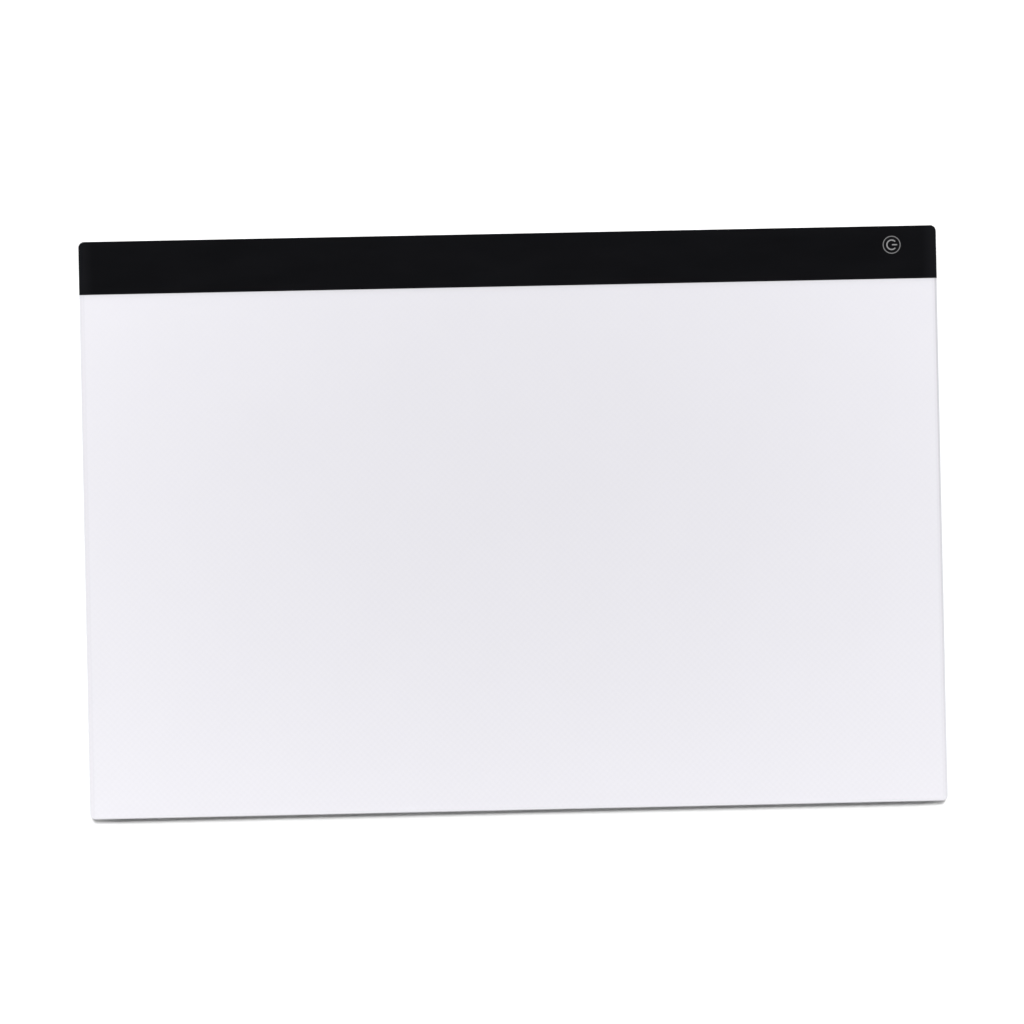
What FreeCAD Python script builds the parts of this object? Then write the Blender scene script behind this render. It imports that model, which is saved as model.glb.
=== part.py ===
"""Slim LED tracing pad as a parametric FreeCAD document, one object for each separate piece.

Millimetres.  +Z points up out of the lit face, +X runs along the long side and +Y towards the
black header strip.  The origin is the middle of the outline, on the plane the feet stand on.

The pad is a white moulded tray that is filled from above: reflector, light guide, diffuser, a
row of side-firing LEDs on a strip board under the header, and a small touch and power board in
the corner.  A full-size opal panel is bonded on top, and a black film covers its rear edge.
"""
import FreeCAD, Part

import math
import os
import re

import Sketcher

# Driving dimensions.  They fill the spreadsheet, and every size below is a rule of their names.
SIZES = {
    # outline
    "pad_width": 360.0,
    "pad_depth": 242.0,
    "corner_radius": 2.5,
    "wall_thickness": 1.6,
    "strip_depth": 22.3,
    # layers, from the table upwards
    "foot_proud": 0.8,
    "floor_thickness": 1.2,
    "reflector_thickness": 0.2,
    "guide_thickness": 2.0,
    "diffuser_thickness": 0.3,
    "tape_thickness": 0.1,
    "panel_thickness": 1.4,
    "overlay_thickness": 0.25,
    # edge rounding
    "under_fillet": 1.5,
    "panel_fillet": 0.5,
    "overlay_inset": 0.07,
    "overlay_fillet": 0.2,
    "seam_chamfer": 0.2,
    "tape_setback": 0.3,
    # feet
    "foot_radius": 5.0,
    "foot_recess": 0.4,
    "foot_clearance": 0.1,
    "foot_chamfer": 0.3,
    "foot_inset_x": 22.0,
    "foot_inset_y": 18.0,
    # blank moulded recess under the tray
    "recess_width": 80.0,
    "recess_depth": 36.0,
    "recess_sink": 0.2,
    # stiffening ribs between the strip board and the rear wall
    "rib_thickness": 1.0,
    "rib_left": 176.0,
    "rib_count": 9.0,
    "rib_pitch": 36.0,
    # locating pegs for both boards
    "peg_radius": 0.6,
    "peg_hole_radius": 0.8,
    "peg_height": 1.3,
    "strip_peg_x": 169.0,
    "strip_peg_back": 1.5,
    # light guide, its foam and the films around it
    "layer_gap": 0.6,
    "guide_under_strip": 4.3,
    "guide_chamfer": 1.5,
    "foam_thickness": 1.2,
    "foam_length": 340.0,
    "diffuser_under_strip": 2.3,
    "blocker_under_strip": 2.6,
    "blocker_depth": 7.0,
    "blocker_thickness": 0.1,
    # strip board and its LEDs
    "led_gap": 0.1,
    "strip_board_length": 344.0,
    "strip_board_depth": 5.0,
    "board_thickness": 0.8,
    "thermal_tape_length": 332.0,
    "thermal_tape_depth": 4.4,
    "led_count": 48.0,
    "led_pitch": 7.0,
    "led_width": 3.8,
    "led_depth": 1.0,
    "led_height": 1.2,
    "window_margin": 0.3,
    "window_depth": 0.15,
    "strip_resistor_count": 16.0,
    "strip_resistor_pitch": 21.0,
    "strip_resistor_back": 3.5,
    # chip sizes
    "resistor_length": 1.6,
    "resistor_width": 0.8,
    "resistor_height": 0.45,
    "capacitor_length": 2.0,
    "capacitor_width": 1.25,
    "capacitor_height": 0.85,
    # control board
    "control_tape": 0.2,
    "control_tape_length": 28.0,
    "control_tape_depth": 9.4,
    "control_left": 133.0,
    "control_length": 45.0,
    "control_depth": 10.6,
    "control_gap": 0.5,
    "control_peg_left_x": 136.2,
    "control_peg_left_y": 117.2,
    "control_peg_right_x": 169.5,
    "control_peg_right_y": 110.2,
    # touch key
    "key_inset_x": 18.8,
    "key_inset_y": 8.0,
    "key_foam_radius": 3.5,
    "ring_radius": 3.57,
    "ring_stroke": 0.38,
    "arc_radius": 1.99,
    "arc_stroke": 0.52,
    "arc_gap_angle": 96.0,
    "bar_start": 0.1,
    "bar_end": 2.35,
    "bar_stroke": 0.5,
    "print_thickness": 0.1,
    "print_gap": 0.01,
    # micro-USB socket
    "socket_inset": 0.4,
    "socket_from_rear": 7.1,
    "socket_lift": 0.1,
    "socket_width": 7.5,
    "socket_height": 2.4,
    "socket_length": 5.6,
    "socket_wall": 0.3,
    "socket_side_height": 1.3,
    "socket_shoulder": 0.85,
    "socket_corner": 0.3,
    "socket_clearance": 0.3,
    "tab_width": 1.0,
    "tab_length": 1.6,
    "tab_thickness": 0.3,
    "tab_from_mouth": 2.6,
    "insulator_gap": 0.05,
    "insulator_block": 1.0,
    "tongue_width": 3.6,
    "tongue_thickness": 0.6,
    "tongue_length": 3.5,
    "tongue_lift": 1.25,
    "contact_count": 5.0,
    "contact_pitch": 0.65,
    "contact_width": 0.3,
    "contact_thickness": 0.1,
    "contact_length": 3.1,
    "tail_length": 1.3,
    "tail_gap": 0.1,
    # packages on the control board
    "touch_chip_x": 148.0,
    "touch_chip_y": 114.6,
    "touch_chip_length": 4.9,
    "touch_chip_width": 3.9,
    "touch_chip_height": 1.1,
    "touch_chip_pitch": 1.27,
    "switch_chip_x": 140.6,
    "switch_chip_y": 112.0,
    "switch_chip_length": 2.9,
    "switch_chip_width": 1.3,
    "switch_chip_height": 1.0,
    "switch_chip_pitch": 1.9,
    "chip_standoff": 0.1,
    "leg_width": 0.4,
    "leg_reach": 0.8,
    "leg_bite": 0.2,
    "leg_thickness": 0.25,
    "capacitor_x": 143.0,
    "capacitor_y": 109.9,
    "capacitor_pitch": 3.2,
    "capacitor_count": 3.0,
    "chip_resistor_x": 144.0,
    "chip_resistor_y": 118.3,
    "chip_resistor_pitch": 2.6,
    "chip_resistor_count": 4.0,
    # the two leads from the control board to the strip board
    "lead_radius": 0.4,
    "lead_bend_share": 0.45,
    "solder_radius": 0.7,
    "solder_top_radius": 0.35,
    "solder_height": 0.6,
    "solder_gap": 0.05,
}

# Heights
FLOOR_TOP = "(foot_proud + floor_thickness)"
GUIDE_UNDER = f"({FLOOR_TOP} + reflector_thickness)"
GUIDE_TOP = f"({GUIDE_UNDER} + guide_thickness)"
WALL_TOP = f"({GUIDE_TOP} + diffuser_thickness)"
PANEL_UNDER = f"({WALL_TOP} + tape_thickness)"
PAD_TOP = f"({PANEL_UNDER} + panel_thickness)"
STRIP_BOARD_TOP = f"({FLOOR_TOP} + tape_thickness + board_thickness)"
CONTROL_TOP = f"({FLOOR_TOP} + control_tape + board_thickness)"
WALL_HEIGHT = "(floor_thickness + reflector_thickness + guide_thickness + diffuser_thickness)"
BAY_HEIGHT = "(reflector_thickness + guide_thickness + diffuser_thickness)"

# Places along Y, from the front wall to the rear wall
INNER_FRONT = "(-pad_depth / 2 + wall_thickness)"
GUIDE_FRONT = f"({INNER_FRONT} + foam_thickness)"
STRIP_LINE = "(pad_depth / 2 - strip_depth)"
GUIDE_REAR = f"({STRIP_LINE} + guide_under_strip)"
LED_FRONT = f"({GUIDE_REAR} + led_gap)"
STRIP_BOARD_REAR = f"({LED_FRONT} + strip_board_depth)"
CONTROL_FRONT = f"({STRIP_BOARD_REAR} + control_gap)"
INNER_REAR = "(pad_depth / 2 - wall_thickness)"

# Places along X
INNER_RIGHT = "(pad_width / 2 - wall_thickness)"
LAYER_WIDTH = f"(2 * ({INNER_RIGHT} - layer_gap))"
SOCKET_MOUTH = "(pad_width / 2 - socket_inset)"
SOCKET_Y = "(pad_depth / 2 - socket_from_rear)"
KEY_X = "(pad_width / 2 - key_inset_x)"
KEY_Y = "(pad_depth / 2 - key_inset_y)"

# Corners of the two leads' routes: x and y, from the control board to the strip board
LEAD_ROUTES = {
    "lead_positive": [(134.2, 110.6), (130.2, 110.6), (126.6, 105.6), (122.6, 105.6)],
    "lead_negative": [(134.2, 113.2), (129.6, 113.2), (125.8, 107.2), (122.0, 107.2)],
}

doc = FreeCAD.newDocument("TracingPad")
sheet = doc.addObject("Spreadsheet::Sheet", "Sizes")
subparts = []


# ---------------------------------------------------------------- sheet and rules

def fill_sheet():
    """Write one row for each driving dimension: its name, its value and the value's alias."""
    for row, (name, value) in enumerate(SIZES.items(), start=1):
        sheet.set(f"A{row}", name)
        sheet.set(f"B{row}", str(value))
        sheet.setAlias(f"B{row}", name)
    doc.recompute()


def sheet_rule(text):
    """Turn a rule of plain names into an expression of the sheet's cells."""
    return re.sub(r"[a-z]\w*", lambda word: f"Sizes.{word.group()}", text)


def number(text):
    """The present value of a rule."""
    return float(sheet.evalExpression(sheet_rule(text)))


def bind(item, **rules):
    """Drive the item's properties by rules."""
    for name, text in rules.items():
        item.setExpression(name, sheet_rule(text))


def place(item, x="0", y="0", z="0"):
    """Drive the item's position by rules."""
    for name, text in zip("xyz", (x, y, z)):
        item.setExpression(f"Placement.Base.{name}", sheet_rule(text))


def keep(item, label):
    """Name a finished sub-part and list it for export."""
    item.Label = label
    subparts.append(item)
    return item


# ---------------------------------------------------------------- sketches

def new_sketch(body, name, plane="XY_Plane", lift="0"):
    """A sketch on one of the body's own origin planes, raised along the plane's normal."""
    sketch = body.newObject("Sketcher::SketchObject", name)
    support = next(item for item in body.Origin.OriginFeatures if item.Role == plane)
    sketch.AttachmentSupport = [(support, "")]
    sketch.MapMode = "FlatFace"
    sketch.setExpression("AttachmentOffset.Base.z", sheet_rule(lift))
    return sketch


def hold_point(sketch, curve, point, x, y):
    """Hold a curve's point at x and y from the sketch's origin, by rules."""
    for kind, axis, text in (("DistanceX", -2, x), ("DistanceY", -1, y)):
        value = number(text)
        if abs(value) < 1e-9:
            sketch.addConstraint(Sketcher.Constraint("PointOnObject", curve, point, axis))
            continue
        index = sketch.addConstraint(Sketcher.Constraint(kind, -1, 1, curve, point, value))
        name = f"held{index}"
        sketch.renameConstraint(index, name)
        sketch.setExpression(f"Constraints.{name}", sheet_rule(text))


def draw_polygon(sketch, corners):
    """A closed polygon.  Each corner is a pair of rules."""
    points = [FreeCAD.Vector(number(x), number(y), 0) for x, y in corners]
    lines = []
    for index, point in enumerate(points):
        following = points[(index + 1) % len(points)]
        lines.append(sketch.addGeometry(Part.LineSegment(point, following)))
    for index, line in enumerate(lines):
        following = lines[(index + 1) % len(lines)]
        sketch.addConstraint(Sketcher.Constraint("Coincident", line, 2, following, 1))
        hold_point(sketch, line, 1, *corners[index])


def draw_rectangle(sketch, left, front, width, depth):
    """An upright rectangle from its left front corner."""
    right = f"({left} + {width})"
    rear = f"({front} + {depth})"
    draw_polygon(sketch, [(left, front), (right, front), (right, rear), (left, rear)])


def draw_circle(sketch, x, y, radius):
    """A circle whose centre and radius are rules."""
    centre = FreeCAD.Vector(number(x), number(y), 0)
    circle = sketch.addGeometry(Part.Circle(centre, FreeCAD.Vector(0, 0, 1), number(radius)))
    hold_point(sketch, circle, 3, x, y)
    index = sketch.addConstraint(Sketcher.Constraint("Radius", circle, number(radius)))
    name = f"radius{index}"
    sketch.renameConstraint(index, name)
    sketch.setExpression(f"Constraints.{name}", sheet_rule(radius))


# ---------------------------------------------------------------- features

def new_body(name, x="0", y="0", z="0"):
    """An empty body at a place given by rules."""
    body = doc.addObject("PartDesign::Body", name)
    place(body, x, y, z)
    return body


def add_pad(body, sketch, length, downward=False):
    """Pad a sketch along its normal, or against it."""
    pad = body.newObject("PartDesign::Pad", "Pad")
    pad.Profile = sketch
    pad.Reversed = downward
    bind(pad, Length=length)
    doc.recompute()
    return pad


def add_pocket(body, sketch, length, upward=False):
    """Cut a sketch's outline against its normal, or along it, and check that it cuts."""
    before = body.Shape.Volume
    pocket = body.newObject("PartDesign::Pocket", "Pocket")
    pocket.Profile = sketch
    pocket.Reversed = upward
    bind(pocket, Length=length)
    doc.recompute()
    if body.Shape.Volume >= before:
        raise RuntimeError(f"{body.Name}: {pocket.Name} cuts nothing")
    return pocket


def add_row(body, features, axis, pitch, count, reversed_row=False):
    """Repeat features along one of the body's axes."""
    direction = next(item for item in body.Origin.OriginFeatures if item.Role == axis)
    row = body.newObject("PartDesign::LinearPattern", "Row")
    row.Originals = features
    row.Direction = (direction, [""])
    row.Reversed = reversed_row
    row.Mode = "Spacing"
    bind(row, Offset=pitch, Occurrences=count)
    body.Tip = row
    doc.recompute()
    return row


def edge_names(shape, wanted):
    """Names of the shape's edges whose bounding box passes the test."""
    return [f"Edge{index}" for index, edge in enumerate(shape.Edges, start=1)
            if wanted(edge.BoundBox)]


def is_upright(box):
    """Whether an edge's box belongs to a straight edge along Z."""
    return box.XLength < 1e-6 and box.YLength < 1e-6


def dress(body, kind, wanted, size):
    """Fillet or chamfer the edges of the body's last feature that pass the test."""
    base = body.Tip
    names = edge_names(base.Shape, wanted)
    if not names:
        raise RuntimeError(f"{body.Name}: no edge to dress")
    feature = body.newObject(f"PartDesign::{kind}", kind)
    feature.Base = (base, names)
    bind(feature, **{"Radius" if kind == "Fillet" else "Size": size})
    doc.recompute()
    return feature


def plate(label, x, y, z, width, depth, height):
    """A plain rectangular film, tape or foam, centred on x and y, with its underside at z."""
    box = doc.addObject("Part::Box", "Plate")
    bind(box, Length=width, Width=depth, Height=height)
    place(box, f"{x} - {width} / 2", f"{y} - {depth} / 2", z)
    return keep(box, label)


# ---------------------------------------------------------------- tray

def tray_outline(body):
    """The tray's block with its rounded corners and underside."""
    outline = new_sketch(body, "Outline")
    draw_rectangle(outline, "-pad_width / 2", "-pad_depth / 2", "pad_width", "pad_depth")
    add_pad(body, outline, WALL_HEIGHT)
    dress(body, "Fillet", is_upright, "corner_radius")
    dress(body, "Fillet", lambda box: box.ZMax < 1e-6, "under_fillet")
    top = number(WALL_HEIGHT)
    dress(body, "Chamfer", lambda box: box.ZMin > top - 1e-6, "seam_chamfer")


def tray_bay(body):
    """The hollow that holds the layers, and the notch in the right wall for the plug."""
    bay = new_sketch(body, "Bay", lift=WALL_HEIGHT)
    draw_rectangle(bay, f"-{INNER_RIGHT}", INNER_FRONT, f"(2 * {INNER_RIGHT})",
                   f"({INNER_REAR} - {INNER_FRONT})")
    add_pocket(body, bay, BAY_HEIGHT)
    reach = number(INNER_RIGHT) + 1e-6
    dress(body, "Fillet", lambda box: is_upright(box) and abs(box.XMax) < reach,
          "(corner_radius - wall_thickness)")
    notch = new_sketch(body, "PlugNotch", lift=WALL_HEIGHT)
    draw_rectangle(notch, f"({INNER_RIGHT} - seam_chamfer)",
                   f"({SOCKET_Y} - socket_width / 2 - socket_clearance)",
                   "(2 * wall_thickness)", "(socket_width + 2 * socket_clearance)")
    add_pocket(body, notch, BAY_HEIGHT)


def tray_ribs(body):
    """A long rib behind the strip board, and cross ribs from it to the rear wall."""
    long_rib = new_sketch(body, "LongRib", lift="floor_thickness")
    length = "((rib_count - 1) * rib_pitch + rib_thickness)"
    draw_rectangle(long_rib, "-rib_left", CONTROL_FRONT, length, "rib_thickness")
    add_pad(body, long_rib, BAY_HEIGHT)
    cross_rib = new_sketch(body, "CrossRib", lift="floor_thickness")
    rib_front = f"({CONTROL_FRONT} + rib_thickness / 2)"
    draw_rectangle(cross_rib, "-rib_left", rib_front, "rib_thickness",
                   f"({INNER_REAR} + wall_thickness / 2 - {rib_front})")
    first = add_pad(body, cross_rib, BAY_HEIGHT)
    add_row(body, [first], "X_Axis", "rib_pitch", "rib_count")


def tray_pegs(body):
    """Four pegs on the floor, two for each board."""
    pegs = new_sketch(body, "Pegs", lift="floor_thickness")
    strip_peg_y = f"({STRIP_BOARD_REAR} - strip_peg_back)"
    draw_circle(pegs, "-strip_peg_x", strip_peg_y, "peg_radius")
    draw_circle(pegs, "strip_peg_x", strip_peg_y, "peg_radius")
    draw_circle(pegs, "control_peg_left_x", "control_peg_left_y", "peg_radius")
    draw_circle(pegs, "control_peg_right_x", "control_peg_right_y", "peg_radius")
    add_pad(body, pegs, "peg_height")


def tray_underside(body):
    """Round recesses for the feet and a blank rectangular recess."""
    seats = new_sketch(body, "FootSeats")
    for x, y in foot_places().values():
        draw_circle(seats, x, y, "(foot_radius + foot_clearance)")
    add_pocket(body, seats, "foot_recess", upward=True)
    blank = new_sketch(body, "BlankRecess")
    draw_rectangle(blank, "-recess_width / 2", "-recess_depth / 2", "recess_width",
                   "recess_depth")
    add_pocket(body, blank, "recess_sink", upward=True)


def make_tray():
    """The white moulded tray, which is also the back cover."""
    body = new_body("BackCover", z="foot_proud")
    tray_outline(body)
    tray_bay(body)
    tray_ribs(body)
    tray_pegs(body)
    tray_underside(body)
    keep(body, "back_cover")


# ---------------------------------------------------------------- feet

def foot_places():
    """Each foot's name and its centre as a pair of rules."""
    across = "(pad_width / 2 - foot_inset_x)"
    along = "(pad_depth / 2 - foot_inset_y)"
    columns = {"left": f"-{across}", "middle": "0", "right": across}
    rows = {"front": f"-{along}", "rear": along}
    return {f"foot_{row}_{column}": (x, y)
            for row, y in rows.items() for column, x in columns.items()}


def make_feet():
    """Six rubber discs, sunk in the tray's underside and standing proud of it."""
    for label, (x, y) in foot_places().items():
        body = new_body("Foot", x, y)
        outline = new_sketch(body, "Disc")
        draw_circle(outline, "0", "0", "foot_radius")
        add_pad(body, outline, "(foot_proud + foot_recess)")
        dress(body, "Chamfer", lambda box: box.ZMax < 1e-6, "foot_chamfer")
        keep(body, label)


# ---------------------------------------------------------------- panel, film and key mark

def make_panel_tape():
    """The bonding tape on the tray's wall, open at the plug notch."""
    body = new_body("PanelTape", z=WALL_TOP)
    frame = new_sketch(body, "Frame")
    half_width = "(pad_width / 2 - tape_setback)"
    half_depth = "(pad_depth / 2 - tape_setback)"
    draw_rectangle(frame, f"-{half_width}", f"-{half_depth}", f"(2 * {half_width})",
                   f"(2 * {half_depth})")
    draw_rectangle(frame, f"-{INNER_RIGHT}", INNER_FRONT, f"(2 * {INNER_RIGHT})",
                   f"({INNER_REAR} - {INNER_FRONT})")
    add_pad(body, frame, "tape_thickness")
    reach = number(INNER_RIGHT) + 1e-6
    dress(body, "Fillet", lambda box: is_upright(box) and abs(box.XMax) > reach,
          "(corner_radius - tape_setback)")
    dress(body, "Fillet", lambda box: is_upright(box) and abs(box.XMax) < reach
          and abs(box.XMax) > reach - 1e-3, "(corner_radius - wall_thickness)")
    opening = new_sketch(body, "PlugOpening", lift="tape_thickness")
    draw_rectangle(opening, f"({INNER_RIGHT} - seam_chamfer)",
                   f"({SOCKET_Y} - socket_width / 2 - socket_clearance)",
                   "(2 * wall_thickness)", "(socket_width + 2 * socket_clearance)")
    add_pocket(body, opening, "tape_thickness")
    keep(body, "panel_tape")


def make_panel():
    """The opal panel, with a shallow step for the header film along its rear edge."""
    body = new_body("CoverPanel", z=PANEL_UNDER)
    outline = new_sketch(body, "Outline")
    draw_rectangle(outline, "-pad_width / 2", "-pad_depth / 2", "pad_width", "pad_depth")
    add_pad(body, outline, "panel_thickness")
    dress(body, "Fillet", is_upright, "corner_radius")
    dress(body, "Chamfer", lambda box: box.ZMax < 1e-6, "seam_chamfer")
    top = number("panel_thickness")
    dress(body, "Fillet", lambda box: box.ZMin > top - 1e-6, "panel_fillet")
    step = new_sketch(body, "FilmStep", lift="panel_thickness")
    draw_rectangle(step, "(-pad_width / 2 - 1)", STRIP_LINE, "(pad_width + 2)",
                   "(strip_depth + 1)")
    add_pocket(body, step, "overlay_thickness")
    keep(body, "cover_panel")


def disc(radius, x, y, z, height, angle=None, turn=0.0):
    """A cylinder, or a sector of one that opens at the given turn about its axis."""
    cylinder = doc.addObject("Part::Cylinder", "Disc")
    bind(cylinder, Radius=radius, Height=height)
    if angle:
        bind(cylinder, Angle=angle)
        cylinder.Placement.Rotation = FreeCAD.Rotation(FreeCAD.Vector(0, 0, 1), turn)
    place(cylinder, x, y, z)
    return cylinder


def cut(base, tool):
    """The base less the tool."""
    result = doc.addObject("Part::Cut", "Cut")
    result.Base = base
    result.Tool = tool
    return result


def fuse(pieces):
    """Several touching pieces as one."""
    result = doc.addObject("Part::MultiFuse", "Fuse")
    result.Shapes = pieces
    result.Refine = True
    return result


def ring(radius, stroke, x, y, z, height, angle=None, turn=0.0):
    """A flat ring, or part of one, given by its middle radius and its stroke."""
    outer = disc(f"({radius} + {stroke} / 2)", x, y, z, height, angle, turn)
    inner = disc(f"({radius} - {stroke} / 2)", x, y, z, height)
    return cut(outer, inner)


def key_strokes(z, height, trim):
    """The power mark: a ring, an arc open to the right and a bar, each stroke less the trim."""
    ring_stroke = f"(ring_stroke - {trim})"
    arc_stroke = f"(arc_stroke - {trim})"
    bar_stroke = f"(bar_stroke - {trim})"
    outline = ring("ring_radius", ring_stroke, KEY_X, KEY_Y, z, height)

    half_gap = SIZES["arc_gap_angle"] / 2
    open_ring = ring("arc_radius", arc_stroke, KEY_X, KEY_Y, z, height,
                     "(360 - arc_gap_angle)", half_gap)
    reach_x = f"arc_radius * {math.cos(math.radians(half_gap)):.6f}"
    reach_y = f"arc_radius * {math.sin(math.radians(half_gap)):.6f}"
    ends = [disc(f"({arc_stroke} / 2)", f"({KEY_X} + {reach_x})", f"({KEY_Y} {side} {reach_y})",
                 z, height) for side in "+-"]

    bar = doc.addObject("Part::Box", "Bar")
    bind(bar, Length="(bar_end - bar_start - bar_stroke)", Width=bar_stroke, Height=height)
    bar_left = f"({KEY_X} + bar_start + bar_stroke / 2)"
    place(bar, bar_left, f"({KEY_Y} - {bar_stroke} / 2)", z)
    bar_right = f"({KEY_X} + bar_end - bar_stroke / 2)"
    caps = [disc(f"({bar_stroke} / 2)", x, KEY_Y, z, height) for x in (bar_left, bar_right)]

    strokes = doc.addObject("Part::Compound", "KeyStrokes")
    strokes.Links = [outline, fuse([open_ring] + ends), fuse([bar] + caps)]
    return strokes


def make_header_film():
    """The black film over the panel's rear edge, with the power mark let into it."""
    body = new_body("HeaderFilm", z=f"({PAD_TOP} - overlay_thickness)")
    outline = new_sketch(body, "Outline")
    draw_rectangle(outline, "(-pad_width / 2 + overlay_inset)", STRIP_LINE,
                   "(pad_width - 2 * overlay_inset)", "(strip_depth - overlay_inset)")
    add_pad(body, outline, "overlay_thickness")
    line = number(STRIP_LINE)
    dress(body, "Fillet", lambda box: is_upright(box) and box.YMin > line + 1e-3,
          "(corner_radius - overlay_inset)")
    top = number("overlay_thickness")
    dress(body, "Fillet", lambda box: box.ZMin > top - 1e-6 and box.YMax > line + 1e-3,
          "overlay_fillet")

    print_under = f"({PAD_TOP} - print_thickness)"
    film = cut(body, key_strokes(print_under, "(2 * print_thickness)", "0"))
    keep(film, "header_overlay")
    keep(key_strokes(print_under, "print_thickness", "2 * print_gap"), "power_icon")


# ---------------------------------------------------------------- light engine

def make_layers():
    """Reflector, light guide with its foam, diffuser, and the tape that stops stray light."""
    def between(front, rear):
        return f"(({front} + {rear}) / 2)", f"({rear} - {front})"

    film_front = f"({INNER_FRONT} + layer_gap)"
    middle, depth = between(film_front, GUIDE_REAR)
    plate("reflector_sheet", "0", middle, FLOOR_TOP, LAYER_WIDTH, depth, "reflector_thickness")

    diffuser_rear = f"({STRIP_LINE} + diffuser_under_strip)"
    middle, depth = between(film_front, diffuser_rear)
    plate("diffuser_sheet", "0", middle, GUIDE_TOP, LAYER_WIDTH, depth, "diffuser_thickness")

    middle, depth = between(INNER_FRONT, GUIDE_FRONT)
    plate("light_guide_foam", "0", middle, GUIDE_UNDER, "foam_length", depth,
          "guide_thickness")

    blocker_front = f"({STRIP_LINE} + blocker_under_strip)"
    middle, depth = between(blocker_front, f"({blocker_front} + blocker_depth)")
    plate("light_blocking_tape", "0", middle, GUIDE_TOP, LAYER_WIDTH, depth,
          "blocker_thickness")

    body = new_body("LightGuide", z=GUIDE_UNDER)
    outline = new_sketch(body, "Outline")
    draw_rectangle(outline, f"(-{LAYER_WIDTH} / 2)", GUIDE_FRONT, LAYER_WIDTH,
                   f"({GUIDE_REAR} - {GUIDE_FRONT})")
    add_pad(body, outline, "guide_thickness")
    front = number(GUIDE_FRONT)
    dress(body, "Chamfer", lambda box: is_upright(box) and box.YMax < front + 1e-3,
          "guide_chamfer")
    keep(body, "light_guide_plate")


def make_strip_board():
    """The narrow board behind the light guide, and the tape that holds it to the floor."""
    body = new_body("StripBoard", z=f"({FLOOR_TOP} + tape_thickness)")
    outline = new_sketch(body, "Outline")
    draw_rectangle(outline, "-strip_board_length / 2", LED_FRONT, "strip_board_length",
                   "strip_board_depth")
    add_pad(body, outline, "board_thickness")
    holes = new_sketch(body, "PegHoles", lift="board_thickness")
    peg_y = f"({STRIP_BOARD_REAR} - strip_peg_back)"
    for x in ("-strip_peg_x", "strip_peg_x"):
        draw_circle(holes, x, peg_y, "peg_hole_radius")
    add_pocket(body, holes, "board_thickness")
    keep(body, "led_board")
    plate("led_board_tape", "0", f"({LED_FRONT} + strip_board_depth / 2)", FLOOR_TOP,
          "thermal_tape_length", "thermal_tape_depth", "tape_thickness")


def make_leds():
    """The row of side-firing LEDs, each with a shallow window that faces the light guide."""
    first_x = "(-(led_count - 1) * led_pitch / 2)"
    body = new_body("Leds", x=first_x, y=LED_FRONT, z=STRIP_BOARD_TOP)
    case = new_sketch(body, "Case")
    draw_rectangle(case, "-led_width / 2", "0", "led_width", "led_depth")
    case_pad = add_pad(body, case, "led_height")
    window = new_sketch(body, "Window", plane="XZ_Plane")
    draw_rectangle(window, "(-led_width / 2 + window_margin)", "window_margin",
                   "(led_width - 2 * window_margin)", "(led_height - 2 * window_margin)")
    front_cut = add_pocket(body, window, "window_depth")
    add_row(body, [case_pad, front_cut], "X_Axis", "led_pitch", "led_count")
    keep(body, "side_leds")


def chip_row(label, x, y, z, size, pitch, count):
    """A row of plain chips along X, from the centre of the first."""
    length, width, height = size
    body = new_body("ChipRow", x, y, z)
    outline = new_sketch(body, "Chip")
    draw_rectangle(outline, f"-{length} / 2", f"-{width} / 2", length, width)
    first = add_pad(body, outline, height)
    add_row(body, [first], "X_Axis", pitch, count)
    keep(body, label)


def make_chips():
    """Resistors on the strip board, and the small parts of the control board."""
    resistor = ("resistor_length", "resistor_width", "resistor_height")
    capacitor = ("capacitor_length", "capacitor_width", "capacitor_height")
    chip_row("led_resistors", "(-(strip_resistor_count - 1) * strip_resistor_pitch / 2)",
             f"({LED_FRONT} + strip_resistor_back)", STRIP_BOARD_TOP, resistor,
             "strip_resistor_pitch", "strip_resistor_count")
    chip_row("chip_resistors", "chip_resistor_x", "chip_resistor_y", CONTROL_TOP, resistor,
             "chip_resistor_pitch", "chip_resistor_count")
    chip_row("chip_capacitors", "capacitor_x", "capacitor_y", CONTROL_TOP, capacitor,
             "capacitor_pitch", "capacitor_count")


# ---------------------------------------------------------------- control board

def make_control_board():
    """The touch and power board, notched for the socket and drilled for its pegs."""
    body = new_body("ControlBoard", z=f"({FLOOR_TOP} + control_tape)")
    outline = new_sketch(body, "Outline")
    draw_rectangle(outline, "control_left", CONTROL_FRONT, "control_length", "control_depth")
    add_pad(body, outline, "board_thickness")
    cuts = new_sketch(body, "Cuts", lift="board_thickness")
    clearance = "(socket_clearance / 1.5)"
    draw_rectangle(cuts, f"({SOCKET_MOUTH} - socket_length - {clearance})",
                   f"({SOCKET_Y} - socket_width / 2 - {clearance})",
                   "(socket_length + wall_thickness)", f"(socket_width + 2 * {clearance})")
    for side in ("left", "right"):
        draw_circle(cuts, f"control_peg_{side}_x", f"control_peg_{side}_y", "peg_hole_radius")
    add_pocket(body, cuts, "board_thickness")
    keep(body, "control_board")

    tape_x = "((control_peg_left_x + control_peg_right_x) / 2)"
    plate("board_tape", tape_x, f"({CONTROL_FRONT} + control_depth / 2)", FLOOR_TOP,
          "control_tape_length", "control_tape_depth", "control_tape")


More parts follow.
